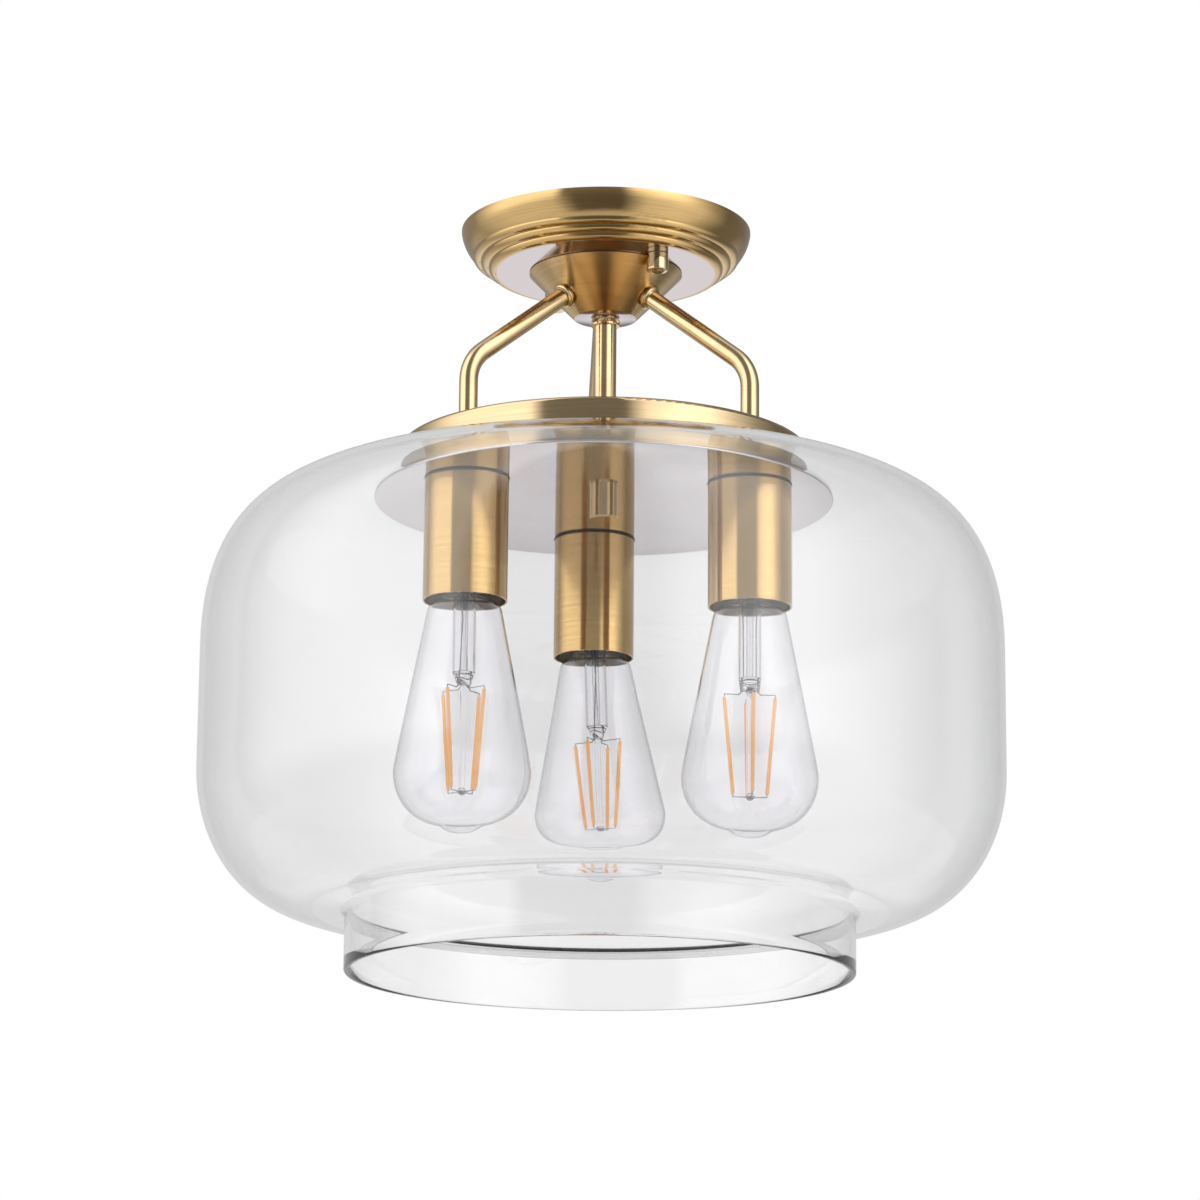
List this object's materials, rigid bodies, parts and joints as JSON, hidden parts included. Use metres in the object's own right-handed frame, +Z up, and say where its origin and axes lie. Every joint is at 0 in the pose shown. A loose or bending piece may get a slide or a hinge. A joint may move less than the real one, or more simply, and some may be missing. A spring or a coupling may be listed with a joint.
{
  "type": "semi flush ceiling light",
  "caption": "Semi flush ceiling light: flared brass canopy and bent arms carry a clear glass drum shade over screw-in filament lamps.",
  "frame": {"origin": "on the light's axis at the ceiling plane, the centre of the mounting strap's slots", "axes": "+Z up, square to the ceiling; +X along the slotted strap; the first lamp is at the back, on +Y"},
  "size_m": [0.3831, 0.3832, 0.3656],
  "materials": {
    "satin_brass": "brushed and lacquered",
    "polished_brass": "polished",
    "mirror_plate": "mirror polished",
    "clear_glass": "clear blown",
    "lamp_glass": "clear blown, thin",
    "zinc_steel": "zinc plated",
    "nickel": "nickel plated",
    "contact_brass": "plain spring brass",
    "black_moulding": "moulded",
    "filament": "phosphor coat on thin wires",
    "green_screw": "green"
  },
  "bodies": {
    "fixture": {"box_strap": "zinc_steel", "stud_strap": "zinc_steel", "strap_eyelet": "zinc_steel", "ground_screw": "green_screw", "canopy_studs": "zinc_steel", "stud_locknuts": "zinc_steel", "canopy": "satin_brass", "hub": "satin_brass", "hub_nipple": "zinc_steel", "hub_washer": "zinc_steel", "hub_nut": "zinc_steel", "rod_collar": "polished_brass", "centre_rod": "polished_brass", "arm_inner_nuts": "zinc_steel", "shade_cap": "satin_brass", "centre_stud": "zinc_steel", "centre_stud_nut": "zinc_steel", "socket_nuts": "zinc_steel", "arm_1": "polished_brass", "arm_ferrule_1": "polished_brass", "socket_cup_1": "satin_brass", "lampholder_1": "black_moulding", "screw_shell_1": "nickel", "centre_contact_1": "contact_brass", "arm_2": "polished_brass", "arm_ferrule_2": "polished_brass", "socket_cup_2": "satin_brass", "lampholder_2": "black_moulding", "screw_shell_2": "nickel", "centre_contact_2": "contact_brass", "arm_3": "polished_brass", "arm_ferrule_3": "polished_brass", "socket_cup_3": "satin_brass", "lampholder_3": "black_moulding", "screw_shell_3": "nickel", "centre_contact_3": "contact_brass"},
    "cap_nut_collar_1": {"cap_nut_collar_1": "polished_brass"},
    "cap_nut_1": {"cap_nut_1": "polished_brass"},
    "cap_nut_collar_2": {"cap_nut_collar_2": "polished_brass"},
    "cap_nut_2": {"cap_nut_2": "polished_brass"},
    "support_plate": {"support_plate": "mirror_plate"},
    "finial": {"finial": "polished_brass"},
    "glass_shade": {"glass_shade": "clear_glass"},
    "bulb_tip_1": {"bulb_tip_1": "nickel"},
    "bulb_1": {"bulb_cap_1": "nickel", "bulb_glass_1": "lamp_glass", "bulb_stem_1": "lamp_glass", "bulb_filaments_1": "filament"},
    "bulb_tip_2": {"bulb_tip_2": "nickel"},
    "bulb_2": {"bulb_cap_2": "nickel", "bulb_glass_2": "lamp_glass", "bulb_stem_2": "lamp_glass", "bulb_filaments_2": "filament"},
    "bulb_tip_3": {"bulb_tip_3": "nickel"},
    "bulb_3": {"bulb_cap_3": "nickel", "bulb_glass_3": "lamp_glass", "bulb_stem_3": "lamp_glass", "bulb_filaments_3": "filament"}
  },
  "joints": [
    {"name": "cap_nut_1_travel", "type": "slide", "parent": "fixture", "child": "cap_nut_collar_1", "axis": [0, 0, -1], "range_m": [0, 0.00397]},
    {"name": "cap_nut_1_turn", "type": "hinge", "parent": "cap_nut_collar_1", "child": "cap_nut_1", "pos_m": [0.02287, -0.03391, -0.028], "axis": [0, 0, -1], "range_deg": [0, 1800]},
    {"name": "cap_nut_2_travel", "type": "slide", "parent": "fixture", "child": "cap_nut_collar_2", "axis": [0, 0, -1], "range_m": [0, 0.00397]},
    {"name": "cap_nut_2_turn", "type": "hinge", "parent": "cap_nut_collar_2", "child": "cap_nut_2", "pos_m": [-0.02287, 0.03391, -0.028], "axis": [0, 0, -1], "range_deg": [0, 1800]},
    {"name": "finial_travel", "type": "slide", "parent": "fixture", "child": "support_plate", "axis": [0, 0, -1], "range_m": [0, 0.00625]},
    {"name": "finial_turn", "type": "hinge", "parent": "support_plate", "child": "finial", "pos_m": [0, 0, -0.14], "axis": [0, 0, -1], "range_deg": [0, 1800]},
    {"name": "shade_lift", "type": "slide", "parent": "support_plate", "child": "glass_shade", "axis": [0, 0, 1], "range_m": [0, 0.12]},
    {"name": "bulb_1_travel", "type": "slide", "parent": "fixture", "child": "bulb_tip_1", "axis": [0, 0, -1], "range_m": [0, 0.02177]},
    {"name": "bulb_1_turn", "type": "hinge", "parent": "bulb_tip_1", "child": "bulb_1", "pos_m": [0, 0.0774, -0.22], "axis": [0, 0, -1], "range_deg": [0, 2160]},
    {"name": "bulb_2_travel", "type": "slide", "parent": "fixture", "child": "bulb_tip_2", "axis": [0, 0, -1], "range_m": [0, 0.02177]},
    {"name": "bulb_2_turn", "type": "hinge", "parent": "bulb_tip_2", "child": "bulb_2", "pos_m": [-0.06703, -0.0387, -0.22], "axis": [0, 0, -1], "range_deg": [0, 2160]},
    {"name": "bulb_3_travel", "type": "slide", "parent": "fixture", "child": "bulb_tip_3", "axis": [0, 0, -1], "range_m": [0, 0.02177]},
    {"name": "bulb_3_turn", "type": "hinge", "parent": "bulb_tip_3", "child": "bulb_3", "pos_m": [0.06703, -0.0387, -0.22], "axis": [0, 0, -1], "range_deg": [0, 2160]}
  ],
  "couplings": [
    {"joint": "cap_nut_1_turn", "follows": "cap_nut_1_travel", "rad_per_m": 7915.8},
    {"joint": "cap_nut_2_turn", "follows": "cap_nut_2_travel", "rad_per_m": 7915.8},
    {"joint": "finial_turn", "follows": "finial_travel", "rad_per_m": 5026.5},
    {"joint": "bulb_1_turn", "follows": "bulb_1_travel", "rad_per_m": 1731.4},
    {"joint": "bulb_2_turn", "follows": "bulb_2_travel", "rad_per_m": 1731.4},
    {"joint": "bulb_3_turn", "follows": "bulb_3_travel", "rad_per_m": 1731.4}
  ]
}
